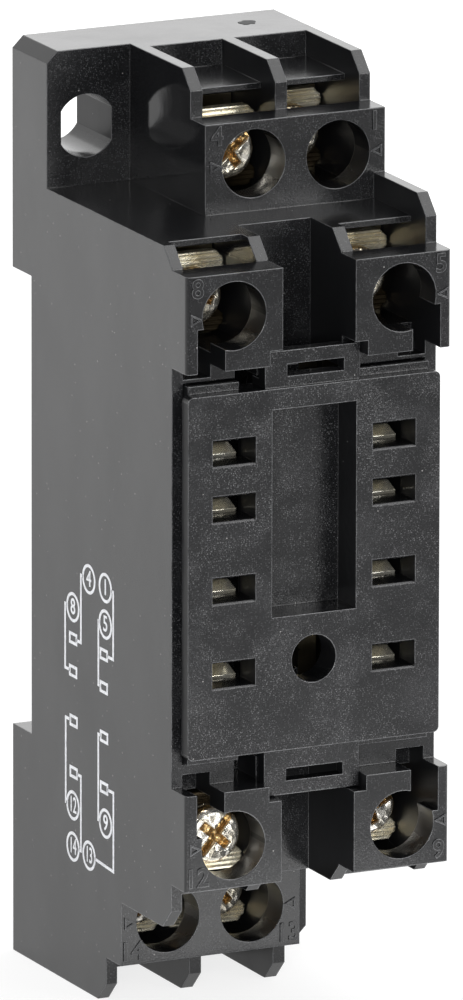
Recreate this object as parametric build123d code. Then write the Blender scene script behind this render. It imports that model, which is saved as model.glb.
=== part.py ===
from build123d import *
import math
import os

# Plug-in relay socket with eight screw terminals, for a 35 mm rail or two screws.
# Millimetres. The origin is the middle of the back face, +Z points up, and the front faces -Y.
# Depths are measured forward from the back face, so a depth d lies at y = -d.
# The moulding looks the same after half a turn about Y: the lower half repeats the upper one.

# Overall size
body_width = 22.0
body_height = 72.0
inner_face = 31.0        # depth of the faces of the two inner terminal rows
outer_face = 19.5        # depth of the faces of the two outer terminal rows

# Walls between the three columns of cells
flank_wall = 0.9
barrier = 1.0
cell_width = (body_width - 2 * flank_wall - 2 * barrier) / 3
column_pitch = cell_width + barrier
inside_x = body_width / 2 - flank_wall
top_z = body_height / 2

# A terminal row, measured from the axis of its screw wells and from its face
wall_rise = 6.9          # to the top of the tall walls
shelf_rise = 4.9         # to the shelf over the clamps
shelf_setback = 5.15     # from the row's face to the shelf's front edge
shelf_edge = 0.45
block_rise = 3.3
block_rounding = 0.35    # outer edges of the inner blocks
inner_block_drop = 4.2
face_plate = 2.6         # thickness of the wall that the wells are bored in
wall_chamfer = 1.5
well_radius = 2.65
row_step = 8.6           # from an outer row's wells to the inner row's
outer_well_z = top_z - wall_rise
inner_well_z = outer_well_z - row_step
inner_block_bottom = inner_well_z - inner_block_drop

# Ear with its double flat screw hole
ear_thickness = 6.2
ear_chamfer = 0.9
ear_hole_radius = 2.46
ear_hole_flats = 4.2
ear_hole_inset = 3.3     # from the flank to the hole's axis
ear_hole_drop = 6.0      # from the housing's end to the hole's axis
roof_depth = 7.6         # the roof behind the outer row

# Slot beside each inner well, and the open channel between the inner blocks
notch_width = 2.3
notch_rise = 3.4
notch_depth = 5.0
channel_depth = 7.85

# Screw, clamp and tapped strip, measured back from the row's face
strip_seat = 10.1        # front of the tapped strip
strip_thickness = 1.2
clamp_thickness = 1.0
clamp_seat_gap = 0.05
screw_radius = 1.5
thread_clearance = 0.03
clamp_bore_clearance = 0.05
head_radius = 2.15
head_height = 1.5
screw_length = 7.4       # under the head
tip_room = 0.3
tip_room_half = 1.75     # square pocket behind the tapped strip
thread_pitch = 0.5
screw_tip_chamfer = 0.8 * thread_pitch
closed_head_depth = strip_seat - clamp_seat_gap - clamp_thickness - head_height

# Recess in the screw head: a cross with one arm lengthened to a full slot
cross_width = 0.72
cross_span = 2.9
cross_depth = 1.0
slot_width = 0.6
slot_depth = 0.55
head_crown = 0.35

# Clamp plate, with a waist and ribbed ends
clamp_side_gap = 0.13
clamp_half_height = 3.1
clamp_corner = 0.6
waist_half_height = 1.9
waist_depth = 0.5
clamp_ribs = 3
rib_pitch = 0.34
rib_depth = 0.14
chamber_gap = 0.2

# Tapped strips and their blade contacts
strip_side_gap = 0.1
strip_fit = 0.1
strip_foot = 3.4         # plate below the screw axis
leg_width = 3.0
run_drop = 2.8           # from the inner blocks to the forward run of an outer row's strip
run_z = inner_block_bottom - run_drop
arm_height = 3.0
inner_leg_width = 1.5
inner_leg_gap = 0.5
inner_jog_drop = 1.3
inner_jog_z = inner_block_bottom - inner_jog_drop
contact_width = 3.0
contact_thickness = 0.35
contact_mouth = 0.92
contact_pinch = 0.44
contact_base = 0.92
contact_pinch_share = 0.78   # of the leaf's length, from its root to the pinch
contact_root_share = 0.35
contact_pad = 1.15       # half height of the strip behind a contact

# Relay plate, and the blade slots in it
plate_setback = 0.8      # behind the faces of the inner rows
plate_face = inner_face - plate_setback
plate_pad = 1.05         # raised pad that overhangs the walls
plate_inset = 0.5        # from the flanks
plate_width = body_width - 2 * plate_inset
plate_top_gap = 2.0      # below the upper inner blocks
plate_bottom_gap = 2.5   # above the lower inner blocks
plate_top = inner_block_bottom - plate_top_gap
plate_bottom = plate_bottom_gap - inner_block_bottom
plate_height = plate_top - plate_bottom
plate_body = 1.55        # thickness of the part between the walls
plate_body_rise = 0.6
plate_gap = 0.08
plate_corner = 0.45
wall_front = inner_face - face_plate
blade_inset = 0.4        # of the blade columns, from the outer wells
blade_x = column_pitch - blade_inset
blade_slot_width = 3.6
blade_slot_height = 1.94
blade_lead_in = 0.12
blade_row_shares = (0.839, 0.685, 0.461, 0.227)   # up the plate, from its bottom
blade_rows = [plate_bottom + share * plate_height for share in blade_row_shares]
upper_blade_rows = {"outer": blade_rows[0], "inner": blade_rows[1]}
lower_blade_rows = {"inner": blade_rows[2], "outer": blade_rows[3]}
pocket_side_web = 1.36   # between the pocket and the blade slots
pocket_half_width = blade_x - blade_slot_width / 2 - pocket_side_web
guide_hole_radius = 1.85
guide_hole_rise = 6.9    # above the plate's bottom
guide_hole_z = plate_bottom + guide_hole_rise
pocket_drop = 1.6        # below the plate's top
pocket_top = plate_top - pocket_drop
pocket_hole_web = 1.65   # between the pocket and the guide hole
pocket_bottom = guide_hole_z + guide_hole_radius + pocket_hole_web
pocket_depth = 3.1
pocket_wall = 0.9
tab_half_width = 3.95
tab_setback = 0.35
tab_thickness = 1.1
upper_tab_reach = 0.8    # past the edge of the inner blocks
lower_tab_reach = 1.05
tab_top = inner_block_bottom + upper_tab_reach
tab_bottom = -inner_block_bottom - lower_tab_reach
tab_fit = 0.12
clip_slot_half_width = 2.37
clip_slot_offset = 0.25
clip_slot_height = 0.95
clip_slot_edge = 1.05    # from the slot to the tab's free edge
tab_relief_width = 1.85  # gap beside the left edge of each tab
tab_relief_depth = 3.2
cavity_gap = 0.12        # past the plate's body
cavity_top = plate_top + plate_body_rise + cavity_gap
cavity_bottom = plate_bottom - plate_body_rise - cavity_gap
cavity_ledge = 0.8
rib_width = 1.2

# Back: slot for a 35 mm rail, with a fixed hook and a sprung slider
rail_slot_height = 36.0
rail_slot_depth = 3.4
rail_edge_room = 1.05    # rail edge held between hook and slot floor
hook_inset = 3.0         # from the flanks
hook_half_width = body_width / 2 - hook_inset
hook_reach = 1.2
slider_thickness = 1.85
slider_skin = 0.25       # slider's back lies this far inside the back face
slider_side_wall = 1.8
slider_half_width = body_width / 2 - slider_side_wall
slider_head_height = 5.7
slider_flange = 0.55
slider_flange_thickness = 0.9
slider_flange_height = 3.2   # the closed groove above it stops the slider
slider_fit = 0.1
slider_nose_reach = 1.9
slider_nose_inset = 1.2
slider_nose_half_width = slider_half_width - slider_nose_inset
slider_travel = 2.4
stem_half_width = 1.8
stem_end_inset = 0.6     # stem end above the housing's bottom
stem_window = (1.8, 1.4)
spring_x = 3.55
spring_depth = 1.4
spring_radius = 1.0      # to the middle of the wire
spring_wire = 0.38
spring_turns = 5
spring_steps = 10        # straight runs in each turn of the coil
spring_seat_inset = 2.6  # above the housing's bottom
spring_seat_z = spring_seat_inset - top_z
spigot_width = 1.0
spigot_length = 1.2
spring_room = 0.15

# How far each screw is backed out from its clamped position
backed_out = {1: 0.0, 4: 3.2, 5: 0.1, 8: 1.0, 9: 2.0, 12: 4.4, 13: 1.7, 14: 1.5}
# Turn of each head's long slot from level, in degrees
head_turn = {1: 70, 4: 35, 5: 60, 8: 75, 9: 20, 12: 50, 13: 40, 14: 15}

# Terminal number: half of the moulding, row, and column in that half's own frame
terminals = {
    4: ("upper", "outer", 0),
    1: ("upper", "outer", 1),
    8: ("upper", "inner", -1),
    5: ("upper", "inner", 1),
    13: ("lower", "outer", 0),
    14: ("lower", "outer", 1),
    9: ("lower", "inner", -1),
    12: ("lower", "inner", 1),
}
row_face = {"outer": outer_face, "inner": inner_face}
row_well_z = {"outer": outer_well_z, "inner": inner_well_z}
row_block_bottom = {"outer": inner_well_z + shelf_rise, "inner": inner_block_bottom}
row_columns = {"outer": (0, 1), "inner": (-1, 1)}
overshoot = 1.0          # how far a cutter runs past the face that it opens


def box(x_span, depth_span, z_span):
    """A box from its spans: x, depth forward of the back face, and z."""
    size = (x_span[1] - x_span[0], depth_span[1] - depth_span[0], z_span[1] - z_span[0])
    middle = (sum(x_span) / 2, -sum(depth_span) / 2, sum(z_span) / 2)
    return Pos(*middle) * Box(*size)


def side_prism(outline, x_span):
    """An outline of (depth, z) points, extruded from one x to another."""
    points = [(-depth, z) for depth, z in outline]
    face = Plane.YZ * make_face(Polyline(*points, close=True))
    return Pos(x_span[0], 0, 0) * extrude(face, amount=x_span[1] - x_span[0])


def ribbon(points, thickness):
    """The closed outline of a bent strip, from the points of its middle line."""
    left, right = [], []
    for i, point in enumerate(points):
        before = Vector(*point) - Vector(*points[i - 1]) if i else None
        after = Vector(*points[i + 1]) - Vector(*point) if i + 1 < len(points) else None
        before = (before or after).normalized()
        after = (after or before).normalized()
        along = (before + after).normalized()
        reach = thickness / 2 / along.dot(before)
        side = Vector(-along.Y, along.X) * reach
        left.append(Vector(*point) + side)
        right.append(Vector(*point) - side)
    return [(p.X, p.Y) for p in left + right[::-1]]


def forward_cylinder(radius, x, z, depth_span):
    """A cylinder along the depth axis."""
    length = depth_span[1] - depth_span[0]
    return Pos(x, -sum(depth_span) / 2, z) * Rot(90, 0, 0) * Cylinder(radius, length)


def to_half(shape, half):
    """Takes a shape from the upper half's frame to the half it belongs to."""
    return Rot(0, 180, 0) * shape if half == "lower" else shape


def column_x(column):
    return column * column_pitch


def cell_span(column):
    return (column_x(column) - cell_width / 2, column_x(column) + cell_width / 2)


def contact_side(row, column):
    """Which column of blade slots a terminal feeds, in its half's own frame."""
    return column if column else -1


def contact_place(number):
    """x and z of a terminal's blade slot, in its half's own frame."""
    half, row, column = terminals[number]
    z = upper_blade_rows[row] if half == "upper" else -lower_blade_rows[row]
    return contact_side(row, column) * blade_x, z


def barrier_wall(row, x_span, rise, back_depth):
    """A wall beside a wire entry, with its front top corner cut off."""
    front = row_face[row] - face_plate
    top = row_well_z[row] + rise
    outline = [
        (back_depth, row_block_bottom[row]),
        (back_depth, top),
        (front - wall_chamfer, top),
        (front, top - wall_chamfer),
        (front, row_block_bottom[row]),
    ]
    return side_prism(outline, x_span)


def half_solid():
    """Outer form of the upper half, before anything is cut."""
    left = (-body_width / 2, -cell_width / 2 - barrier)
    right = (left[1], body_width / 2)
    full = (-body_width / 2, body_width / 2)
    low_top = inner_well_z + shelf_rise
    low_front = inner_face - face_plate
    low_body = side_prism(
        [
            (0, 0),
            (0, low_top),
            (low_front - wall_chamfer, low_top),
            (low_front, low_top - wall_chamfer),
            (low_front, 0),
        ],
        full,
    )
    ear = box(left, (0, ear_thickness), (0, top_z))
    ear_edge = ear.edges().filter_by(Axis.Y).group_by(Axis.Z)[-1].sort_by(Axis.X)[0]
    ear = chamfer(ear_edge, ear_chamfer)
    roof = box(right, (0, roof_depth), (0, top_z))
    outer_shelf = box(right, (0, outer_face - shelf_setback), (0, outer_well_z + shelf_rise))
    outer_block = box(right, (0, outer_face), (0, outer_well_z + block_rise))
    solid = low_body + ear + roof + outer_shelf + outer_block
    for column in (-1, 0):
        edge = column_x(column) + cell_width / 2
        solid += barrier_wall("outer", (edge, edge + barrier), wall_rise, 0)
    right_wall = (inside_x, body_width / 2)
    solid += barrier_wall("outer", right_wall, wall_rise, 0)
    solid += barrier_wall("inner", right_wall, wall_rise, 0)
    for side in (-1, 1):
        outer_x = side * body_width / 2
        inner_x = side * cell_width / 2
        block_x = (min(outer_x, inner_x), max(outer_x, inner_x))
        block_z = (row_block_bottom["inner"], inner_well_z + block_rise)
        block = box(block_x, (low_front - overshoot, inner_face), block_z)
        front_edges = block.edges().filter_by(Axis.Z).group_by(Axis.Y)[0].sort_by(Axis.X)
        solid += fillet(front_edges[0 if side < 0 else -1], block_rounding)
    return solid


def terminal_room(row, column):
    """Well, clamp chamber, wire entry and screw tip pocket of one cell."""
    face = row_face[row]
    z = row_well_z[row]
    x = column_x(column)
    span = cell_span(column)
    seat = face - strip_seat
    floor = z - clamp_half_height - chamber_gap
    ceiling = z + clamp_half_height + chamber_gap
    shelf_front = face - shelf_setback
    room = forward_cylinder(well_radius, x, z, (face - face_plate - overshoot, face + overshoot))
    room += box(span, (seat, face - face_plate), (floor, ceiling))
    room += box(span, (seat - strip_thickness, seat + strip_fit), (z - strip_foot - strip_fit, ceiling))
    entry_top = z + wall_rise + overshoot
    room += box(span, (shelf_front, face - face_plate), (floor, entry_top))
    # The shelf's underside slopes up to its thin front edge, which guides a wire to the clamp.
    slope = [
        (seat, ceiling - overshoot),
        (seat, ceiling),
        (shelf_front, z + shelf_rise - shelf_edge),
        (shelf_front + overshoot, z + shelf_rise - shelf_edge),
        (shelf_front + overshoot, ceiling - overshoot),
    ]
    room += side_prism(slope, span)
    tip_end = face - closed_head_depth - head_height - screw_length - tip_room
    tip_x = (x - tip_room_half, x + tip_room_half)
    room += box(tip_x, (tip_end, seat), (z - tip_room_half, z + tip_room_half))
    return room


def outer_strip(column, contact_z, fit=0.0):
    """Tapped strip of an outer row, up to the pad behind its contact; fit grows it for its groove."""
    back = outer_face - strip_seat - strip_thickness
    front = back + strip_thickness + fit
    x = column_x(column)
    contact_x = contact_side("outer", column) * blade_x
    half_leg = leg_width / 2 + fit
    leg_x = x if column == 0 else contact_x
    pad_front = inner_face - strip_seat + fit
    pad_back = inner_face - strip_seat - strip_thickness
    z = outer_well_z
    strip = box((leg_x - half_leg, leg_x + half_leg), (back, front), (run_z - fit, z))
    arm_x = sorted((leg_x, contact_x))
    arm_span = (arm_x[0] - half_leg, arm_x[1] + half_leg)
    strip += box(arm_span, (back, front), (run_z - fit, run_z + arm_height + fit))
    run_x = (contact_x - half_leg, contact_x + half_leg)
    strip += box(run_x, (back, pad_front), (run_z - fit, run_z + strip_thickness + fit))
    if fit == 0.0:
        strip += box(run_x, (pad_back, pad_front), (contact_z - contact_pad, run_z + strip_thickness))
    return strip


def inner_strip(column, contact_z, fit=0.0):
    """Tapped strip of an inner row, which passes inside the outer row's strip."""
    side = contact_side("inner", column)
    back = inner_face - strip_seat - strip_thickness
    front = back + strip_thickness + fit
    strip_inner = cell_width / 2 + barrier + strip_side_gap
    leg_outer = blade_x - leg_width / 2 - inner_leg_gap
    leg_inner = leg_outer - inner_leg_width
    contact_outer = blade_x + leg_width / 2
    z = inner_well_z
    jog_top = row_block_bottom["inner"] + inner_leg_width
    outline_boxes = [
        ((strip_inner, strip_inner + 2 * inner_leg_width), (inner_jog_z, z)),
        ((leg_inner, strip_inner + 2 * inner_leg_width), (inner_jog_z, inner_jog_z + inner_leg_width)),
        ((leg_inner, leg_outer), (contact_z - contact_pad, inner_jog_z + inner_leg_width)),
        ((leg_inner, contact_outer), (contact_z - contact_pad, contact_z + contact_pad)),
    ]
    if fit:
        outline_boxes = outline_boxes[:1]
        outline_boxes.append(((leg_inner, strip_inner + 2 * inner_leg_width), (inner_jog_z, jog_top)))
        outline_boxes.append(((leg_inner, leg_outer), (inner_jog_z - inner_leg_width, inner_jog_z)))
    strip = Part()
    for (x0, x1), (z0, z1) in outline_boxes:
        xs = sorted((side * (x0 - fit), side * (x1 + fit)))
        strip += box(xs, (back, front), (z0 - fit, z1 + fit))
    return strip


def half_cuts():
    """Everything cut from the upper half: rooms, channel, notches and grooves."""
    cuts = Part()
    for row, columns in row_columns.items():
        for column in columns:
            cuts += terminal_room(row, column)
    channel_top = inner_well_z + shelf_rise + overshoot
    channel_x = (-cell_width / 2, cell_width / 2)
    channel_back = inner_face - channel_depth
    cuts += box(channel_x, (channel_back, inner_face + overshoot), (0, channel_top))
    tab_x = tab_half_width + tab_fit
    tab_back = plate_face - tab_setback - tab_thickness - tab_fit
    tab_reach = max(tab_top, -tab_bottom) + tab_fit
    cuts += box((-tab_x, tab_x), (tab_back, inner_face + overshoot), (0, tab_reach))
    for side in (-1, 1):
        notch_x = sorted((side * inside_x, side * (inside_x - notch_width)))
        notch_z = (row_block_bottom["inner"] - overshoot, row_block_bottom["inner"] + notch_rise)
        cuts += box(notch_x, (inner_face - notch_depth, inner_face + overshoot), notch_z)
    for column in row_columns["outer"]:
        cuts += outer_strip(column, 0, strip_fit)
    for column in row_columns["inner"]:
        cuts += inner_strip(column, 0, strip_fit)
    cuts += ear_hole()
    return cuts


def ear_hole():
    """Round hole with two upright flats, through the ear."""
    span = (-overshoot, ear_thickness + overshoot)
    x = ear_hole_inset - body_width / 2
    z = top_z - ear_hole_drop
    hole = forward_cylinder(ear_hole_radius, x, z, span)
    flats = (x - ear_hole_flats / 2, x + ear_hole_flats / 2)
    return hole & box(flats, span, (z - ear_hole_radius, z + ear_hole_radius))


def slider_pocket():
    """Room for the slider, its stem and its two springs, open at the back."""
    slot_bottom = -rail_slot_height / 2
    depth = slider_skin + slider_thickness + slider_fit
    flange_back = depth - slider_flange_thickness - 2 * slider_fit
    head_room = slot_bottom - slider_head_height - slider_travel - slider_fit
    wide = slider_half_width + slider_fit
    pocket = box((-wide, wide), (-overshoot, depth), (head_room, slot_bottom + overshoot))
    wider = wide + slider_flange
    groove_top = slot_bottom - slider_head_height + slider_flange_height
    pocket += box((-wider, wider), (flange_back, depth), (head_room, groove_top))
    stem = stem_half_width + slider_fit
    pocket += box((-stem, stem), (-overshoot, depth), (-top_z - overshoot, slot_bottom))
    spring_gap = spring_radius + spring_wire / 2 + spring_room
    for side in (-1, 1):
        x = side * spring_x
        channel = (-overshoot, spring_depth + spring_gap)
        pocket += box((x - spring_gap, x + spring_gap), channel, (spring_seat_z, slot_bottom))
    return pocket


def base_housing():
    upper = half_solid()
    cuts = half_cuts()
    housing = upper + to_half(upper, "lower")
    housing -= cuts
    housing -= to_half(cuts, "lower")
    floor = inner_face - strip_seat - strip_thickness
    ledge = plate_face - plate_pad - plate_body
    tall = (cavity_bottom, cavity_top)
    narrow = inside_x - cavity_ledge
    housing -= box((-narrow, narrow), (floor, inner_face), tall)
    housing -= box((-inside_x, inside_x), (ledge, inner_face), tall)
    relief_x = (-tab_half_width - tab_relief_width, -tab_half_width)
    relief_depth = (wall_front - tab_relief_depth, inner_face - face_plate)
    for end in (1, -1):
        relief_z = sorted((0, end * inner_block_bottom))
        housing -= box(relief_x, relief_depth, relief_z)
    rib_top = plate_face - pocket_depth - pocket_wall - plate_gap
    rib = box((-rib_width / 2, rib_width / 2), (floor, rib_top), tall)
    rib -= forward_cylinder(guide_hole_radius, 0, guide_hole_z, (floor + overshoot, inner_face))
    housing += rib
    slot_half = rail_slot_height / 2
    slot_x = (-body_width / 2 - overshoot, body_width / 2 + overshoot)
    housing -= box(slot_x, (-overshoot, rail_slot_depth), (-slot_half, slot_half))
    hook_depth = rail_slot_depth - rail_edge_room
    hook = side_prism(
        [
            (0, slot_half),
            (0, slot_half - hook_reach / 2),
            (hook_depth / 2, slot_half - hook_reach),
            (hook_depth, slot_half - hook_reach),
            (hook_depth, slot_half),
        ],
        (-hook_half_width, hook_half_width),
    )
    housing += hook
    housing -= slider_pocket()
    for side in (-1, 1):
        housing += spring_spigot(side * spring_x, (spring_seat_z, spring_seat_z + spigot_length))
    return housing


def spring_spigot(x, z_span):
    half = spigot_width / 2
    return box((x - half, x + half), (spring_depth - half, spring_depth + half), z_span)


def rail_slider():
    """Sliding catch with a nose over the rail's lower edge, side flanges and a pull stem."""
    top = -rail_slot_height / 2 - slider_fit
    bottom = -rail_slot_height / 2 - slider_head_height
    back = slider_skin
    front = slider_skin + slider_thickness
    wide = slider_half_width
    slider = box((-wide, wide), (back, front), (bottom, top))
    flange = wide + slider_flange - slider_fit
    flange_z = (bottom, bottom + slider_flange_height)
    slider += box((-flange, flange), (front - slider_flange_thickness, front), flange_z)
    nose = side_prism(
        [
            (back, top - overshoot),
            (back, top + slider_nose_reach / 4),
            (front - slider_thickness / 4, top + slider_nose_reach),
            (front, top + slider_nose_reach),
            (front, top - overshoot),
        ],
        (-slider_nose_half_width, slider_nose_half_width),
    )
    slider += nose
    stem_bottom = -top_z + stem_end_inset
    slider += box((-stem_half_width, stem_half_width), (back, front), (stem_bottom, bottom + overshoot))
    window_width, window_height = stem_window
    window_z = stem_bottom + window_height / 2
    window_x = (-window_width / 2, window_width / 2)
    slider -= box(window_x, (0, front + overshoot), (window_z, window_z + window_height))
    for side in (-1, 1):
        slider += spring_spigot(side * spring_x, (bottom - spigot_length, bottom + overshoot / 2))
    return slider


def rail_spring(side):
    """Compression spring between the housing's spigot and the slider's."""
    top = -rail_slot_height / 2 - slider_head_height
    height = top - spring_seat_z - spring_wire
    steps = spring_turns * spring_steps
    points = []
    for i in range(steps + 1):
        turn = 2 * math.pi * i / spring_steps
        points.append((spring_radius * math.cos(turn), spring_radius * math.sin(turn), height * i / steps))
    path = Polyline(*points)
    section = Plane(origin=path @ 0, z_dir=path % 0) * RegularPolygon(spring_wire / 2, 6)
    coil = sweep(section, path=path, transition=Transition.RIGHT)
    return Pos(side * spring_x, -spring_depth, spring_seat_z + spring_wire / 2) * coil


def relay_plate():
    """Front plate with blade slots, a central pocket, a guide hole and two slotted tabs."""
    pad_back = plate_face - plate_pad
    body_back = pad_back - plate_body
    half = plate_width / 2
    pad = box((-half, half), (pad_back, plate_face), (plate_bottom, plate_top))
    pad = fillet(pad.edges().filter_by(Axis.Y), plate_corner)
    body_x = inside_x - plate_gap
    body_z = (plate_bottom - plate_body_rise, plate_top + plate_body_rise)
    plate = pad + box((-body_x, body_x), (body_back, pad_back), body_z)
    floor = plate_face - pocket_depth
    cup = pocket_half_width + pocket_wall
    cup_z = (pocket_bottom - pocket_wall, pocket_top + pocket_wall)
    plate += box((-cup, cup), (floor - pocket_wall, body_back), cup_z)
    relief_x = (-tab_half_width - tab_relief_width, -tab_half_width)
    for end, edge in ((plate_top, body_z[1]), (plate_bottom, body_z[0])):
        plate -= box(relief_x, (body_back - overshoot, pad_back), sorted((end, edge)))
    tab_front = plate_face - tab_setback
    tab_x = (-tab_half_width, tab_half_width)
    tab_depth = (tab_front - tab_thickness, tab_front)
    clip_x = (clip_slot_offset - clip_slot_half_width, clip_slot_offset + clip_slot_half_width)
    clip_depth = (tab_depth[0] - overshoot, tab_depth[1] + overshoot)
    for end, root in ((tab_top, plate_top), (tab_bottom, plate_bottom)):
        inward = -1 if end > 0 else 1
        tab_z = sorted((end, root + inward * overshoot / 2))
        plate += box(tab_x, tab_depth, tab_z)
        slot_z = sorted((end + inward * clip_slot_edge, end + inward * (clip_slot_edge + clip_slot_height)))
        plate -= box(clip_x, clip_depth, slot_z)
    pocket_x = (-pocket_half_width, pocket_half_width)
    plate -= box(pocket_x, (floor, plate_face + overshoot), (pocket_bottom, pocket_top))
    plate -= forward_cylinder(guide_hole_radius, 0, guide_hole_z, (0, plate_face + overshoot))
    for z in (*upper_blade_rows.values(), *lower_blade_rows.values()):
        for side in (-1, 1):
            plate -= blade_slot(side * blade_x, z, body_back)
    return plate


def blade_slot(x, z, back):
    """Blade slot with a lead-in above and below it."""
    half = blade_slot_height / 2
    outline = [
        (back - overshoot, z - half),
        (plate_face - blade_lead_in, z - half),
        (plate_face, z - half - blade_lead_in),
        (plate_face + overshoot, z - half - blade_lead_in),
        (plate_face + overshoot, z + half + blade_lead_in),
        (plate_face, z + half + blade_lead_in),
        (plate_face - blade_lead_in, z + half),
        (back - overshoot, z + half),
    ]
    return side_prism(outline, (x - blade_slot_width / 2, x + blade_slot_width / 2))


def terminal_strip(number):
    """Stamped strip with the tapped plate of one terminal."""
    half, row, column = terminals[number]
    contact_x, contact_z = contact_place(number)
    face = row_face[row]
    z = row_well_z[row]
    seat = face - strip_seat
    cell = cell_span(column)
    plate_x = (cell[0] + strip_side_gap, cell[1] - strip_side_gap)
    plate_z = (z - strip_foot, z + clamp_half_height)
    strip = box(plate_x, (seat - strip_thickness, seat), plate_z)
    strip += outer_strip(column, contact_z) if row == "outer" else inner_strip(column, contact_z)
    bore = screw_radius + thread_clearance
    strip -= forward_cylinder(bore, column_x(column), z, (seat - strip_thickness - overshoot, seat + overshoot))
    return to_half(strip, half)


def blade_contact(number):
    """Forked spring contact that grips a relay blade behind its slot."""
    half, row, column = terminals[number]
    contact_x, contact_z = contact_place(number)
    base = inner_face - strip_seat + contact_thickness / 2
    mouth = plate_face - plate_pad - plate_body - strip_fit - contact_thickness / 2
    reach = mouth - base
    leaf = [
        (base, contact_base),
        (base + contact_root_share * reach, contact_base),
        (base + contact_pinch_share * reach, contact_pinch),
        (mouth, contact_mouth),
    ]
    line = [(depth, -z) for depth, z in leaf[::-1]] + leaf
    outline = [(depth, z + contact_z) for depth, z in ribbon(line, contact_thickness)]
    contact = side_prism(outline, (contact_x - contact_width / 2, contact_x + contact_width / 2))
    return to_half(contact, half)


def terminal_clamp(number):
    """Clamp plate on the screw, with chamfered corners, a waist and ribbed ends."""
    half, row, column = terminals[number]
    x = column_x(column)
    z = row_well_z[row]
    back = row_face[row] - strip_seat + clamp_seat_gap + backed_out[number]
    front = back + clamp_thickness
    wide = cell_width / 2 - clamp_side_gap
    tall = clamp_half_height
    quarter = [
        (wide - waist_depth, 0),
        (wide - waist_depth, waist_half_height - waist_depth),
        (wide, waist_half_height),
        (wide, tall - clamp_corner),
        (wide - clamp_corner, tall),
    ]
    upper = quarter + [(-a, b) for a, b in quarter[::-1]]
    outline = upper + [(a, -b) for a, b in upper[::-1] if b]
    face = Plane.XZ * make_face(Polyline(*outline, close=True))
    clamp = Pos(x, -back, z) * extrude(face, amount=clamp_thickness)
    bore = screw_radius + clamp_bore_clearance
    clamp -= forward_cylinder(bore, x, z, (back - overshoot, front + overshoot))
    for end in (-1, 1):
        for i in range(clamp_ribs):
            groove_z = z + end * (tall - rib_pitch * (i + 1))
            groove = [
                (front + rib_depth, groove_z - 2 * rib_depth),
                (front - rib_depth, groove_z),
                (front + rib_depth, groove_z + 2 * rib_depth),
            ]
            clamp -= side_prism(groove, (x - wide - overshoot, x + wide + overshoot))
    return to_half(clamp, half)


def terminal_screw(number):
    """Pan head screw with a combined cross and slot recess."""
    half, row, column = terminals[number]
    x = column_x(column)
    z = row_well_z[row]
    head_front = row_face[row] - closed_head_depth + backed_out[number]
    head = Pos(0, 0, -head_height / 2) * Cylinder(head_radius, head_height)
    head = chamfer(head.edges().group_by(Axis.Z)[-1], head_crown)
    shank = Pos(0, 0, -head_height - screw_length / 2) * Cylinder(screw_radius, screw_length)
    shank = chamfer(shank.edges().group_by(Axis.Z)[0], screw_tip_chamfer)
    screw = head + shank
    for turn in (0, 90):
        arm = Pos(0, 0, overshoot / 2 - cross_depth / 2) * Box(cross_span, cross_width, cross_depth + overshoot)
        screw -= Rot(0, 0, turn) * arm
    slot = Box(2 * head_radius + overshoot, slot_width, slot_depth + overshoot)
    screw -= Pos(0, 0, overshoot / 2 - slot_depth / 2) * slot
    placed = Pos(x, -head_front, z) * Rot(90, 0, 0) * Rot(0, 0, head_turn[number]) * screw
    return to_half(placed, half)


def build_parts():
    parts = {
        "base_housing": base_housing(),
        "relay_plate": relay_plate(),
        "rail_slider": rail_slider(),
        "rail_spring_left": rail_spring(-1),
        "rail_spring_right": rail_spring(1),
    }
    for number in sorted(terminals):
        parts[f"terminal_strip_{number}"] = terminal_strip(number)
        parts[f"blade_contact_{number}"] = blade_contact(number)
        parts[f"terminal_clamp_{number}"] = terminal_clamp(number)
        parts[f"terminal_screw_{number}"] = terminal_screw(number)
    return parts


os.makedirs("parts", exist_ok=True)
for name, shape in build_parts().items():
    export_step(shape, f"parts/{name}.step")
lift_per_radian = thread_pitch / 1000 / (2 * math.pi)
print(f"clamp lift per radian of screw turn: {lift_per_radian:.4e} m")
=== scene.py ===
import math

import bmesh
import bpy
from mathutils import Matrix, Vector


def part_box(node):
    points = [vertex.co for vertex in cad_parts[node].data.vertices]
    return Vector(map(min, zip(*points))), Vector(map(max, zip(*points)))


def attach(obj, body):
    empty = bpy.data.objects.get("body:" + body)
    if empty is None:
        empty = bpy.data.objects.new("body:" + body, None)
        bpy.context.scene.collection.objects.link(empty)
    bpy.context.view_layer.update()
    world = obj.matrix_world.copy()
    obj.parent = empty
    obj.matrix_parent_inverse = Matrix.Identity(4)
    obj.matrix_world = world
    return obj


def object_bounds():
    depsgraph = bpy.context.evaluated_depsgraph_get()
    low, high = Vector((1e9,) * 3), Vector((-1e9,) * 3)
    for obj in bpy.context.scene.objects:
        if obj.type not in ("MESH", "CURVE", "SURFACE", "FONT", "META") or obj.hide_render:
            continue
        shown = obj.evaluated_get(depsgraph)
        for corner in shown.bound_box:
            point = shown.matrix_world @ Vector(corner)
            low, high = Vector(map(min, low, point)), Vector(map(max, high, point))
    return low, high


# Looks of the relay socket: finishes of its moulding and metal parts, moulded numerals, a printed
# wiring diagram, soft studio light and the camera. Metres, in the frame of the CAD.
MM = 0.001

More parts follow.
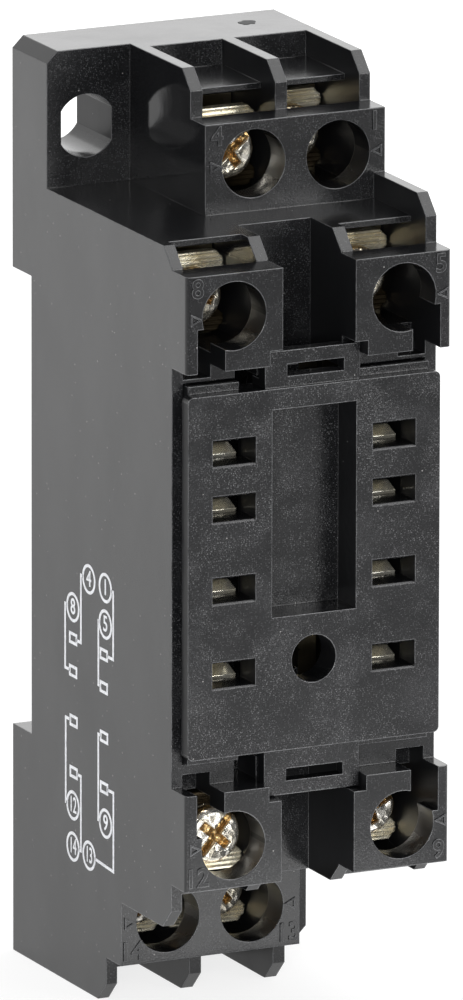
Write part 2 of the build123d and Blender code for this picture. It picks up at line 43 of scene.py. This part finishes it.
# Terminals: number -> side of its well on which the numeral stands, -1 left and 1 right
NUMERAL_SIDE = {4: -1, 1: 1, 8: -1, 5: 1, 12: -1, 9: 1, 14: -1, 13: 1}
NUMERAL_SHIFT = 3.05 * MM        # from the well's axis
NUMERAL_RISE = 2.3 * MM
NUMERAL_SIZE = 2.05 * MM
NUMERAL_RELIEF = 0.09 * MM
NUMERAL_STROKE = 0.05 * MM       # half of what the strokes are thickened by
ARROW_SHIFT = 3.2 * MM
ARROW_SIZE = 0.75 * MM
ARROW_STROKE = 0.13 * MM
ROW_STEP = 11.5 * MM             # from the inner rows' face back to the outer rows' face
INNER_TERMINALS = (5, 8, 9, 12)

# Gate mark on the roof
GATE_MARK_PLACE = (7.2 * MM, -3.3 * MM)
GATE_MARK_SIZE = Vector((0.62, 0.75)) * MM
GATE_MARK_RELIEF = 0.02 * MM
GATE_MARK_STEPS = 32
GATE_MARK_WAVES = ((0.18, 2, 1), (0.1, 5, 0))    # share of the size, waves round the rim, phase

# Wiring diagram on the left flank: (depth, z) in millimetres
DIAGRAM_LINE = 0.24
DIAGRAM_RELIEF = 0.02
RING_RADIUS = 1.05
DIGIT_SIZE = 1.75
DIGIT_STROKE = 0.02
TWO_DIGIT_WIDTH = 0.72
LEAD_DROP = 0.2                  # where a lead from afar turns, below its ring's middle
ARC_STEPS = 28
PAD_SIZE = (1.2, 0.7)            # one contact symbol
RINGS = {
    4: (13.75, -3.4),
    1: (16.7, -3.4),
    8: (10.9, -6.25),
    5: (16.7, -6.25),
    12: (10.9, -21.85),
    9: (16.75, -21.85),
    14: (10.9, -25.1),
    13: (13.8, -25.1),
}
PADS = {
    4: (10.93, -8.7),
    8: (10.93, -11.28),
    1: (16.43, -8.67),
    5: (16.43, -11.25),
    12: (11.03, -15.18),
    14: (11.03, -19.22),
    9: (16.48, -15.13),
    13: (16.48, -19.11),
}
LEADS = {4: 12.33, 8: 9.5, 1: 18.1, 5: 15.46, 12: 9.6, 14: 12.33, 9: 15.45, 13: 18.15}

# Camera, at the photograph's place
CAMERA_TARGET = Vector((0.0, -15.5, 0.0)) * MM
CAMERA_AZIMUTH = math.radians(-25.526)
CAMERA_ELEVATION = math.radians(14.246)
CAMERA_ROLL = math.radians(0.12)
CAMERA_DISTANCE = 1359.26 * MM
CAMERA_SENSOR = 36.0
CAMERA_LENS = 644.47
CAMERA_SHIFT = (0.00156, 0.02584)
CAMERA_CLIP = (0.05, 20.0)

# Floor and lamps: name -> place, target, size and radiance
FLOOR_GAP = 0.02 * MM
FLOOR_SIZE = 6.0
ORIGIN = (0, 0, 0)
SOFTBOXES = {
    "rear_softbox": ((0.55, 1.1, 0.55), ORIGIN, (1.3, 0.9), 0.9),
    "top_softbox": ((0.32, -0.2, 0.7), ORIGIN, (0.5, 0.5), 2.8),
    "key_softbox": ((0.48, -0.87, 0.11), ORIGIN, (0.26, 0.3), 7.0),
    "side_softbox": ((0.52, -0.72, 0.46), ORIGIN, (0.42, 0.42), 5.0),
    "fill_softbox": ((-0.46, -0.9, 0.25), ORIGIN, (0.35, 0.35), 16.0),
}
STRIP_PLACE = (-0.01, -0.052)
STRIP_RISE = 0.2 * MM            # above the floor, facing up
STRIP_SIZE = (0.07, 0.044)
STRIP_RADIANCE = 1.6

# Where the moulding is polished: the side walls of the barriers next to the ears
BARRIER_PLACE = 4.03 * MM        # middle of a barrier, across the width
BARRIER_EDGE = (0.5 * MM, 0.3 * MM)
EAR_END = (23.0 * MM, 24.0 * MM)
FLANK_EDGE = (10.97 * MM, 10.9 * MM)
# Radius of the rounded edges in the shading; also the width of the pale band painted along convex edges of
# the moulding as a painted highlight
ROUNDED_EDGE = 0.12 * MM
THREAD_PITCH = 0.5 * MM

# Colours
MOULDING_BLACK = (0.004, 0.0042, 0.0048, 1)
MOULDING_GREY = (0.008, 0.0082, 0.009, 1)
# Painted glints: bright grains in the colour standing in for glints off the grain
GLINT_GREY = (0.12, 0.122, 0.128, 1)
# Painted sheen: soft pale patches on front faces standing in for broad soft reflections
PAINTED_SHEEN_GREY = (0.05, 0.051, 0.054, 1)
# Painted sparkle: bright dots on front faces standing in for glints off the grain
PAINTED_SPARKLE_GREY = (0.26, 0.262, 0.268, 1)
# Painted highlight along the convex edges of the moulding
EDGE_HIGHLIGHT_GREY = (0.15, 0.152, 0.158, 1)
DUST_GREY = (0.32, 0.31, 0.3, 1)
NICKEL = (0.93, 0.9, 0.83, 1)
NICKEL_TARNISHED = (0.82, 0.76, 0.62, 1)
RECESS_BROWN = (0.55, 0.38, 0.17, 1)
CLAMP_BRASS = ((0.98, 0.93, 0.76, 1), (0.92, 0.82, 0.58, 1))
# Painted shade: the dark colour given to the clamps away from their lit end
CLAMP_PAINTED_SHADE = (0.06, 0.045, 0.025, 1)
CONTACT_BRASS = ((0.98, 0.95, 0.84, 1), (0.93, 0.88, 0.72, 1))
STRIP_BRASS = ((0.3, 0.26, 0.18, 1), (0.2, 0.17, 0.11, 1))
SPRING_STEEL = ((0.62, 0.62, 0.62, 1), (0.5, 0.5, 0.51, 1))
INK_THIN = (0.6, 0.61, 0.64, 1)
INK_FULL = (0.78, 0.79, 0.82, 1)
FLOOR_PAPER = (0.86, 0.86, 0.86, 1)
WHITE = (1, 1, 1, 1)


def add(tree, kind, inputs=None, **settings):
    """Adds a node; inputs maps sockets to values or to other nodes' outputs."""
    node = tree.nodes.new("ShaderNode" + kind)
    for key, value in settings.items():
        setattr(node, key, value)
    for key, value in (inputs or {}).items():
        if isinstance(value, bpy.types.NodeSocket):
            tree.links.new(value, node.inputs[key])
        else:
            node.inputs[key].default_value = value
    return node


def math_node(tree, operation, *values):
    node = add(tree, "Math", dict(enumerate(values)), operation=operation)
    return node.outputs[0]


def ramp(tree, value, low, high, start=0.0, end=1.0):
    """Smooth step of a value between two limits."""
    inputs = {"Value": value, "From Min": low, "From Max": high, "To Min": start, "To Max": end}
    return add(tree, "MapRange", inputs, interpolation_type="SMOOTHSTEP").outputs["Result"]


def mix_colour(tree, factor, a, b):
    node = add(tree, "Mix", {0: factor, 6: a, 7: b}, data_type="RGBA")
    return node.outputs[2]


def noise(tree, place, scale, detail=2.0):
    return add(tree, "TexNoise", {"Vector": place, "Scale": scale, "Detail": detail}).outputs["Fac"]


def bump(tree, height, distance, normal=None, strength=1.0):
    inputs = {"Height": height, "Distance": distance, "Strength": strength}
    if normal is not None:
        inputs["Normal"] = normal
    return add(tree, "Bump", inputs).outputs["Normal"]


def material(name):
    made = bpy.data.materials.new(name)
    made.use_nodes = True
    tree = made.node_tree
    return made, tree, tree.nodes["Principled BSDF"]


def moulding(name, grain=1.0, wave=1.0, rough=0.19, sheen_strength=0.25):
    """Black moulded plastic: fine grain on its outside, smooth inner walls and dust, with painted light in
    its colour: painted highlights along convex edges, painted glints and sparkle, and a painted sheen on
    front faces.
    """
    made, tree, shader = material(name)
    link = tree.links.new
    place = add(tree, "TexCoord").outputs["Object"]
    geometry = add(tree, "NewGeometry")
    where = add(tree, "SeparateXYZ", {0: place})
    facing = add(tree, "SeparateXYZ", {0: geometry.outputs["True Normal"]})
    side_wall = ramp(tree, math_node(tree, "ABSOLUTE", facing.outputs["X"]), 0.6, 0.9)
    column = math_node(tree, "SUBTRACT", math_node(tree, "ABSOLUTE", where.outputs["X"]), BARRIER_PLACE)
    barrier = ramp(tree, math_node(tree, "ABSOLUTE", column), *BARRIER_EDGE)
    ear_end = ramp(tree, math_node(tree, "ABSOLUTE", where.outputs["Z"]), *EAR_END)
    polished = math_node(tree, "MULTIPLY", side_wall, math_node(tree, "MULTIPLY", barrier, ear_end))
    inside = ramp(tree, math_node(tree, "ABSOLUTE", where.outputs["X"]), *FLANK_EDGE)
    inside = math_node(tree, "MULTIPLY", side_wall, inside)
    front = ramp(tree, facing.outputs["Y"], -0.5, -0.9)

    edge = add(tree, "Bevel", {"Radius": ROUNDED_EDGE}, samples=8).outputs["Normal"]
    # Painted edge highlight: a pale, patchy band along convex edges, kept out of concave corners by the
    # occlusion
    sharp = add(tree, "VectorMath", {0: edge, 1: geometry.outputs["Normal"]}, operation="DOT_PRODUCT")
    painted_edge_highlight = ramp(tree, sharp.outputs["Value"], 0.985, 0.88)
    patchy = ramp(tree, noise(tree, place, 900.0), 0.3, 0.55, 0.35, 1.0)
    painted_edge_highlight = math_node(tree, "MULTIPLY", painted_edge_highlight, patchy)
    open_edge = add(tree, "AmbientOcclusion", {"Distance": 0.4 * MM}, samples=6).outputs["AO"]
    painted_edge_highlight = math_node(tree, "MULTIPLY", painted_edge_highlight, ramp(tree, open_edge, 0.72, 0.95))

    fine = noise(tree, place, 6500.0, 3.0)
    sink = noise(tree, place, 95.0, 1.0)
    flow = noise(tree, place, 420.0, 2.0)
    grained = math_node(tree, "MULTIPLY_ADD", front, 0.85 * grain, 0.15 * grain)
    smoky = ramp(tree, noise(tree, place, 480.0, 3.0), 0.36, 0.64, 0.45, 1.25)
    grained = math_node(tree, "MULTIPLY", grained, smoky)
    normal = bump(tree, sink, 0.1 * wave * MM, edge)
    normal = bump(tree, flow, 0.015 * wave * MM, normal)
    normal = bump(tree, fine, 0.014 * MM, normal, grained)
    link(normal, shader.inputs["Normal"])

    cell = add(tree, "TexVoronoi", {"Vector": place, "Scale": 1100.0})
    speck = ramp(tree, cell.outputs["Distance"], 0.075, 0.045)
    chance = add(tree, "SeparateColor", {0: cell.outputs["Color"]}).outputs[0]
    dust = math_node(tree, "MULTIPLY", speck, ramp(tree, chance, 0.8, 0.82))

    # Painted sparkle: sparse bright dots on front faces, in place of glints off the grain
    flat = add(tree, "CombineXYZ", {0: where.outputs["X"], 1: where.outputs["Z"]}).outputs[0]
    cell = add(tree, "TexVoronoi", {"Vector": flat, "Scale": 6500.0}, voronoi_dimensions="2D")
    painted_sparkle = ramp(tree, cell.outputs["Distance"], 0.45, 0.15)
    chance = add(tree, "SeparateColor", {0: cell.outputs["Color"]}).outputs[1]
    painted_sparkle = math_node(tree, "MULTIPLY", painted_sparkle, ramp(tree, chance, 0.5, 1.0))
    painted_sparkle = math_node(tree, "MULTIPLY", painted_sparkle, math_node(tree, "MULTIPLY", smoky, front))

    cloud = noise(tree, place, 260.0, 4.0)
    base = mix_colour(tree, cloud, MOULDING_BLACK, MOULDING_GREY)
    # Painted glints: bright grains mixed into the colour
    glint = ramp(tree, noise(tree, place, 9000.0, 3.0), 0.52, 0.72)
    glint = math_node(tree, "MULTIPLY", glint, math_node(tree, "MULTIPLY", grained, 0.1))
    base = mix_colour(tree, glint, base, GLINT_GREY)
    # Painted sheen: soft pale patches on front faces only, in place of broad soft reflections
    sheen_speckle = ramp(tree, noise(tree, place, 8000.0, 2.0), 0.4, 0.7, 0.3, 1.0)
    painted_sheen = ramp(tree, noise(tree, place, 230.0, 5.0), 0.46, 0.66, 0.0, sheen_strength)
    painted_sheen = math_node(tree, "MULTIPLY", math_node(tree, "MULTIPLY", painted_sheen, sheen_speckle), front)
    base = mix_colour(tree, painted_sheen, base, PAINTED_SHEEN_GREY)
    base = mix_colour(tree, math_node(tree, "MULTIPLY", painted_sparkle, 0.13 * grain), base, PAINTED_SPARKLE_GREY)
    base = mix_colour(tree, math_node(tree, "MULTIPLY", painted_edge_highlight, 0.8), base, EDGE_HIGHLIGHT_GREY)
    base = mix_colour(tree, math_node(tree, "MULTIPLY", dust, 0.6), base, DUST_GREY)
    link(base, shader.inputs["Base Color"])

    dull = math_node(tree, "MULTIPLY_ADD", cloud, 0.14, rough - 0.07)
    dull = math_node(tree, "MULTIPLY_ADD", inside, 0.12, dull)
    dull = math_node(tree, "MULTIPLY_ADD", polished, -0.22, dull)
    link(dull, shader.inputs["Roughness"])
    flat_wall = ramp(tree, math_node(tree, "ABSOLUTE", facing.outputs["X"]), 0.998, 0.9999)
    shaded = math_node(tree, "MULTIPLY", flat_wall, inside)
    gloss = math_node(tree, "MULTIPLY_ADD", shaded, -0.34, 0.5)
    link(gloss, shader.inputs["Specular IOR Level"])
    shader.inputs["IOR"].default_value = 1.5
    return made


def plated_screw(name):
    """Nickelled steel with turned rings on the head, a dull brownish recess and a thread on the shank."""
    made, tree, shader = material(name)
    link = tree.links.new
    coords = add(tree, "TexCoord")
    place = coords.outputs["Object"]
    own = add(tree, "SeparateXYZ", {0: coords.outputs["Generated"]})
    across = math_node(tree, "SUBTRACT", own.outputs["X"], 0.5)
    along = math_node(tree, "SUBTRACT", own.outputs["Z"], 0.5)
    radius = math_node(tree, "SQRT", math_node(
        tree, "ADD", math_node(tree, "MULTIPLY", across, across), math_node(tree, "MULTIPLY", along, along)))
    depth = own.outputs["Y"]
    in_recess = math_node(
        tree, "MULTIPLY", ramp(tree, depth, 0.012, 0.05), ramp(tree, depth, 0.13, 0.12))
    shank = ramp(tree, depth, 0.165, 0.17)

    rings = math_node(tree, "SINE", math_node(tree, "MULTIPLY", radius, 330.0))
    scratches = noise(tree, place, 2600.0, 4.0)
    pits = noise(tree, place, 900.0, 2.0)
    burrs = add(tree, "TexVoronoi", {"Vector": place, "Scale": 1700.0}).outputs["Distance"]
    burrs = math_node(tree, "MULTIPLY", burrs, math_node(tree, "MULTIPLY_ADD", in_recess, 0.5, 0.5))
    turn = math_node(tree, "ARCTAN2", across, along)
    advance = add(tree, "SeparateXYZ", {0: place}).outputs["Y"]
    step = math_node(tree, "MULTIPLY", advance, 2 * math.pi / THREAD_PITCH)
    thread = math_node(tree, "SINE", math_node(tree, "ADD", step, turn))
    edge = add(tree, "Bevel", {"Radius": 0.2 * MM}, samples=6).outputs["Normal"]
    normal = bump(tree, pits, 0.12 * MM, edge)
    normal = bump(tree, burrs, 0.3 * MM, normal)
    normal = bump(tree, scratches, 0.008 * MM, normal)
    normal = bump(tree, rings, 0.0015 * MM, normal)
    thread_normal = bump(tree, math_node(tree, "MULTIPLY", thread, shank), 0.11 * MM, normal)
    link(thread_normal, shader.inputs["Normal"])

    tarnish = ramp(tree, pits, 0.35, 0.65)
    base = mix_colour(tree, tarnish, NICKEL, NICKEL_TARNISHED)
    base = mix_colour(tree, in_recess, base, RECESS_BROWN)
    link(base, shader.inputs["Base Color"])
    shader.inputs["Metallic"].default_value = 0.85
    link(math_node(tree, "MULTIPLY_ADD", scratches, 0.2, 0.14), shader.inputs["Roughness"])
    return made


def metal(name, colours, rough, round_edge=0.06, relief=0.01, satin=0.0, lit_end=0):
    """Stamped metal with a slightly uneven surface and tarnish. When an end in z is given, that end keeps
    the metal's colour and is a little rougher, and the rest of the part is darkened with painted shade.
    """
    made, tree, shader = material(name)
    light, dark = colours
    link = tree.links.new
    place = add(tree, "TexCoord").outputs["Object"]
    stretched = add(tree, "Mapping", {"Vector": place, "Scale": (0.18, 1.0, 1.0)}).outputs["Vector"]
    brushed = noise(tree, stretched, 3600.0, 3.0)
    uneven = noise(tree, place, 600.0, 2.0)
    edge = add(tree, "Bevel", {"Radius": round_edge * MM}, samples=6).outputs["Normal"]
    normal = bump(tree, uneven, 4 * relief * MM, edge)
    normal = bump(tree, brushed, relief * MM, normal)
    link(normal, shader.inputs["Normal"])
    base = mix_colour(tree, ramp(tree, uneven, 0.35, 0.65), light, dark)
    dull = math_node(tree, "MULTIPLY_ADD", brushed, 0.16, rough - 0.08)
    # Painted shade: away from the given end in z the colour goes dark, as the part would look shaded deep in
    # its well; that end keeps the metal's colour and is a little rougher.
    if lit_end:
        along = add(tree, "SeparateXYZ", {0: add(tree, "TexCoord").outputs["Generated"]}).outputs["Z"]
        along = along if lit_end > 0 else math_node(tree, "SUBTRACT", 1.0, along)
        unshaded_end = ramp(tree, along, 0.6, 0.72)
        base = mix_colour(tree, unshaded_end, CLAMP_PAINTED_SHADE, base)
        dull = math_node(tree, "MULTIPLY_ADD", unshaded_end, 0.16, dull)
    link(base, shader.inputs["Base Color"])
    link(dull, shader.inputs["Roughness"])
    shader.inputs["Metallic"].default_value = 1.0 - satin
    return made


def ink(name):
    """White print with slightly uneven cover."""
    made, tree, shader = material(name)
    place = add(tree, "TexCoord").outputs["Object"]
    cover = ramp(tree, noise(tree, place, 3500.0, 3.0), 0.25, 0.6)
    colour = mix_colour(tree, cover, INK_THIN, INK_FULL)
    tree.links.new(colour, shader.inputs["Base Color"])
    shader.inputs["Roughness"].default_value = 0.5
    return made


def dress(obj, finish):
    obj.data.materials.clear()
    obj.data.materials.append(finish)


def new_object(name, mesh, finish, body="housing"):
    obj = bpy.data.objects.new(name, mesh)
    bpy.context.scene.collection.objects.link(obj)
    dress(obj, finish)
    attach(obj, body)
    return obj


def text_mesh(words, size, depth, thicken=0.0):
    """A mesh of a short text, centred on the origin in the XY plane, standing up along +Z."""
    curve = bpy.data.curves.new("words", "FONT")
    curve.body = words
    curve.size = size
    curve.align_x = "CENTER"
    curve.align_y = "CENTER"
    curve.extrude = depth
    curve.offset = thicken
    curve.resolution_u = 4
    holder = bpy.data.objects.new("words", curve)
    bpy.context.scene.collection.objects.link(holder)
    bpy.context.view_layer.update()
    mesh = bpy.data.meshes.new_from_object(holder.evaluated_get(bpy.context.evaluated_depsgraph_get()))
    bpy.data.objects.remove(holder)
    bpy.data.curves.remove(curve)
    return mesh


def stroke(bm, points, width, height, closed=False):
    """A raised line of even width along points in the XY plane, with mitred corners."""
    count = len(points)
    rims = []
    for i, point in enumerate(points):
        here = Vector(point)
        last = Vector(points[i - 1]) if i or closed else None
        following = Vector(points[(i + 1) % count]) if closed or i + 1 < count else None
        before = (here - last).normalized() if last else (following - here).normalized()
        after = (following - here).normalized() if following else before
        along = (before + after).normalized()
        side = Vector((-along.y, along.x)) * (width / 2 / along.dot(before))
        corners = [(here + side, 0.0), (here + side, height), (here - side, height), (here - side, 0.0)]
        rims.append([bm.verts.new((at.x, at.y, z)) for at, z in corners])
    for i in range(count if closed else count - 1):
        a, b = rims[i], rims[(i + 1) % count]
        for j in range(4):
            k = (j + 1) % 4
            bm.faces.new((a[j], b[j], b[k], a[k]))
    if not closed:
        bm.faces.new(rims[0])
        bm.faces.new(rims[-1][::-1])


def circle(centre, radius):
    angles = [2 * math.pi * i / ARC_STEPS for i in range(ARC_STEPS)]
    return [(centre[0] + radius * math.cos(a), centre[1] + radius * math.sin(a)) for a in angles]


def well_axis(number):
    """Axis of a terminal's screw, from the corners of its CAD node."""
    low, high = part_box(f"terminal_screw_{number}")
    return (low.x + high.x) / 2, (low.z + high.z) / 2


def moulded_marks(finish, front):
    """Numeral and arrow beside each well, raised from the block's face."""
    for number, side in NUMERAL_SIDE.items():
        x, z = well_axis(number)
        face = front if number in INNER_TERMINALS else front + ROW_STEP
        outward = 1 if z > 0 else -1
        to_face = Matrix(((1, 0, 0, 0), (0, 0, -1, face), (0, 1, 0, 0), (0, 0, 0, 1)))
        mesh = text_mesh(str(number), NUMERAL_SIZE, NUMERAL_RELIEF, NUMERAL_STROKE)
        place = Matrix.Translation((x + side * NUMERAL_SHIFT, 0, z + outward * NUMERAL_RISE)) @ to_face
        mesh.transform(place)
        new_object(f"numeral_{number}", mesh, finish)
        bm = bmesh.new()
        half = ARROW_SIZE / 2
        stroke(bm, [(side * half, half), (-side * half, 0), (side * half, -half)],
               ARROW_STROKE, NUMERAL_RELIEF, closed=True)
        mesh = bpy.data.meshes.new("arrow")
        bmesh.ops.recalc_face_normals(bm, faces=bm.faces)
        bm.to_mesh(mesh)
        bm.free()
        mesh.transform(Matrix.Translation((x + side * ARROW_SHIFT, 0, z)) @ to_face)
        new_object(f"arrow_{number}", mesh, finish)


def gate_mark(finish, roof):
    """Small rough spot on the roof where the moulding's gate was cut off."""
    middle = Vector(GATE_MARK_PLACE)
    rim = []
    bm = bmesh.new()
    for i in range(GATE_MARK_STEPS):
        angle = 2 * math.pi * i / GATE_MARK_STEPS
        reach = 1 + sum(share * math.sin(waves * angle + phase) for share, waves, phase in GATE_MARK_WAVES)
        rim.append((middle.x + GATE_MARK_SIZE.x * reach * math.cos(angle),
                    middle.y + GATE_MARK_SIZE.y * reach * math.sin(angle)))
    top = [bm.verts.new((x, y, roof + GATE_MARK_RELIEF)) for x, y in rim]
    bottom = [bm.verts.new((x, y, roof)) for x, y in rim]
    bm.faces.new(top)
    bm.faces.new(bottom[::-1])
    for i in range(GATE_MARK_STEPS):
        j = (i + 1) % GATE_MARK_STEPS
        bm.faces.new((bottom[i], bottom[j], top[j], top[i]))
    mesh = bpy.data.meshes.new("gate_mark")
    bm.to_mesh(mesh)
    bm.free()
    new_object("gate_mark", mesh, finish)


def pad_outline(middle):
    """Corners of a contact symbol."""
    wide, tall = PAD_SIZE[0] / 2, PAD_SIZE[1] / 2
    u, v = middle
    return [(u - wide, v - tall), (u + wide, v - tall), (u + wide, v + tall), (u - wide, v + tall)]


def wiring_diagram(finish, flank):
    """White print on the left flank: a ringed number for each terminal, joined to its contact."""
    bm = bmesh.new()
    for number, ring in RINGS.items():
        pad = PADS[number]
        lead = LEADS[number]
        stroke(bm, circle(ring, RING_RADIUS), DIAGRAM_LINE, DIAGRAM_RELIEF, closed=True)
        stroke(bm, pad_outline(pad), DIAGRAM_LINE, DIAGRAM_RELIEF, closed=True)
        side = 1 if lead > pad[0] else -1
        pad_end = (pad[0] + side * PAD_SIZE[0] / 2, pad[1])
        reach = math.copysign(RING_RADIUS, lead - ring[0])
        if abs(lead - ring[0]) > 2 * RING_RADIUS:
            ring_end = (ring[0] + reach, ring[1])
            line = [pad_end, (lead, pad[1]), (lead, ring[1] - LEAD_DROP), ring_end]
        else:
            line = [pad_end, (lead, pad[1]), (lead, ring[1]), (ring[0] + reach, ring[1])]
        stroke(bm, line, DIAGRAM_LINE, DIAGRAM_RELIEF)
    bmesh.ops.recalc_face_normals(bm, faces=bm.faces)
    mesh = bpy.data.meshes.new("diagram")
    bm.to_mesh(mesh)
    bm.free()
    to_flank = Matrix(((0, 0, -MM, flank), (-MM, 0, 0, 0), (0, MM, 0, 0), (0, 0, 0, 1)))
    mesh.transform(to_flank)
    new_object("wiring_diagram", mesh, finish)
    for number, ring in RINGS.items():
        mesh = text_mesh(str(number), DIGIT_SIZE, DIAGRAM_RELIEF / 2, DIGIT_STROKE)
        if number > 9:
            mesh.transform(Matrix.Scale(TWO_DIGIT_WIDTH, 4, (1, 0, 0)))
        mesh.transform(to_flank @ Matrix.Translation((ring[0], ring[1], DIAGRAM_RELIEF / 2)))
        new_object(f"diagram_number_{number}", mesh, finish)


def area_lamp(name, place, target, size, radiance):
    """A softbox of the given radiance, unseen by the camera."""
    data = bpy.data.lights.new(name, "AREA")
    data.shape = "RECTANGLE"
    data.size, data.size_y = size
    data.energy = radiance * math.pi * size[0] * size[1]
    lamp = bpy.data.objects.new(name, data)
    lamp.location = place
    lamp.rotation_euler = (Vector(target) - Vector(place)).to_track_quat("-Z", "Y").to_euler()
    lamp.visible_camera = False
    bpy.context.scene.collection.objects.link(lamp)


def studio(floor_height):
    """Pale floor, white surroundings that darken towards the front, and soft lamps; the floor also glows,
    white to the camera and, as painted light in reflections, dim in front of the object and bright behind
    it.
    """
    world = bpy.data.worlds.new("studio")
    bpy.context.scene.world = world
    world.use_nodes = True
    tree = world.node_tree
    rays = add(tree, "LightPath")
    direction = add(tree, "SeparateXYZ", {0: add(tree, "TexCoord").outputs["Generated"]})
    level = ramp(tree, direction.outputs["Y"], -0.7, 0.3, 0.05, 1.0)
    strength = math_node(tree, "MAXIMUM", level, rays.outputs["Is Camera Ray"])
    background = tree.nodes["Background"]
    background.inputs["Color"].default_value = WHITE
    tree.links.new(strength, background.inputs["Strength"])

    bpy.ops.mesh.primitive_plane_add(size=FLOOR_SIZE, location=(0, 0, floor_height))
    floor = bpy.context.object
    floor.name = "floor"
    paper_and_glow, tree, shader = material("floor_paper_and_glow")
    shader.inputs["Base Color"].default_value = FLOOR_PAPER
    shader.inputs["Roughness"].default_value = 0.9
    shader.inputs["Specular IOR Level"].default_value = 0.0
    # Painted light: the floor glows for camera and glossy rays; to the camera it is evenly white, in
    # reflections its glow is dim in front of the object and bright behind it.
    rays = add(tree, "LightPath")
    where = add(tree, "SeparateXYZ", {0: add(tree, "NewGeometry").outputs["Position"]})
    level = ramp(tree, where.outputs["Y"], -0.26, -0.03, 0.08, 1.15)
    level = math_node(tree, "ADD", level, ramp(tree, where.outputs["Y"], 0.02, 0.25, 0.0, 0.4))
    glow = add(tree, "Emission", {"Color": WHITE})
    tree.links.new(math_node(tree, "MAXIMUM", level, rays.outputs["Is Camera Ray"]), glow.inputs["Strength"])
    seen = math_node(tree, "MAXIMUM", rays.outputs["Is Camera Ray"], rays.outputs["Is Glossy Ray"])
    blend = add(tree, "MixShader", {0: math_node(tree, "MULTIPLY", seen, 0.7)})
    tree.links.new(shader.outputs[0], blend.inputs[1])
    tree.links.new(glow.outputs[0], blend.inputs[2])
    tree.links.new(blend.outputs[0], tree.nodes["Material Output"].inputs["Surface"])
    dress(floor, paper_and_glow)

    for name, setting in SOFTBOXES.items():
        area_lamp(name, *setting)
    place = (*STRIP_PLACE, floor_height + STRIP_RISE)
    area_lamp("front_strip", place, (*STRIP_PLACE, 1), STRIP_SIZE, STRIP_RADIANCE)


def camera():
    data = bpy.data.cameras.new("camera")
    data.sensor_fit = "VERTICAL"
    data.sensor_height = CAMERA_SENSOR
    data.lens = CAMERA_LENS
    data.shift_x, data.shift_y = CAMERA_SHIFT
    data.clip_start, data.clip_end = CAMERA_CLIP
    cam = bpy.data.objects.new("camera", data)
    flat = math.cos(CAMERA_ELEVATION)
    back = Vector((
        math.sin(CAMERA_AZIMUTH) * flat,
        -math.cos(CAMERA_AZIMUTH) * flat,
        math.sin(CAMERA_ELEVATION),
    ))
    right = Vector((0, 0, 1)).cross(back).normalized()
    up = back.cross(right)
    turned = right * math.cos(CAMERA_ROLL) + up * math.sin(CAMERA_ROLL)
    above = up * math.cos(CAMERA_ROLL) - right * math.sin(CAMERA_ROLL)
    cam.matrix_world = Matrix.Translation(CAMERA_TARGET + back * CAMERA_DISTANCE) @ Matrix(
        (turned, above, back)).transposed().to_4x4()
    bpy.context.scene.collection.objects.link(cam)
    bpy.context.scene.camera = cam


bpy.context.scene.view_settings.view_transform = "Standard"
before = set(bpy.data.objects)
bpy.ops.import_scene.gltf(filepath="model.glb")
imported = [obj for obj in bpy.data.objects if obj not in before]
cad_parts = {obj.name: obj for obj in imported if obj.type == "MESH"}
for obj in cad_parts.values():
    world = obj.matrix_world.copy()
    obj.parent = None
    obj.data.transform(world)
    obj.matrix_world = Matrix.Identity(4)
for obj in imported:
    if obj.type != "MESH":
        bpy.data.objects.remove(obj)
cad_low, cad_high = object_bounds()

housing_finish = moulding("housing_moulding")
plate_finish = moulding("plate_moulding", grain=1.8, wave=4.0, sheen_strength=0.3)
mark_finish = moulding("mark_moulding", grain=0.6, rough=0.26)
gate_finish = moulding("gate_moulding", grain=0.6, rough=0.6, sheen_strength=0.0)
screw_finish = plated_screw("nickelled_screw")
clamp_finishes = {
    end: metal(f"clamp_brass_{part}", CLAMP_BRASS, 0.1, 0.22, satin=0.2, lit_end=end)
    for part, end in (("upper", 1), ("lower", -1))
}
contact_finish = metal("contact_brass", CONTACT_BRASS, 0.24, 0.12, relief=0.012, satin=0.2)
strip_finish = metal("strip_brass", STRIP_BRASS, 0.3)
spring_finish = metal("spring_steel", SPRING_STEEL, 0.3)
ink_finish = ink("white_ink")

for name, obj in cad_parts.items():
    if name == "relay_plate":
        dress(obj, plate_finish)
    elif name.startswith("terminal_screw"):
        dress(obj, screw_finish)
    elif name.startswith("terminal_clamp"):
        dress(obj, clamp_finishes[1 if well_axis(name.split("_")[-1])[1] > 0 else -1])
    elif name.startswith("blade_contact"):
        dress(obj, contact_finish)
    elif name.startswith("terminal_strip"):
        dress(obj, strip_finish)
    elif name.startswith("rail_spring"):
        dress(obj, spring_finish)
    else:
        dress(obj, housing_finish)

housing_low, housing_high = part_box("base_housing")
moulded_marks(mark_finish, housing_low.y)
gate_mark(gate_finish, housing_high.z)
wiring_diagram(ink_finish, housing_low.x)
studio(cad_low.z - FLOOR_GAP)
camera()

bpy.context.view_layer.update()
bpy.context.view_layer.update()
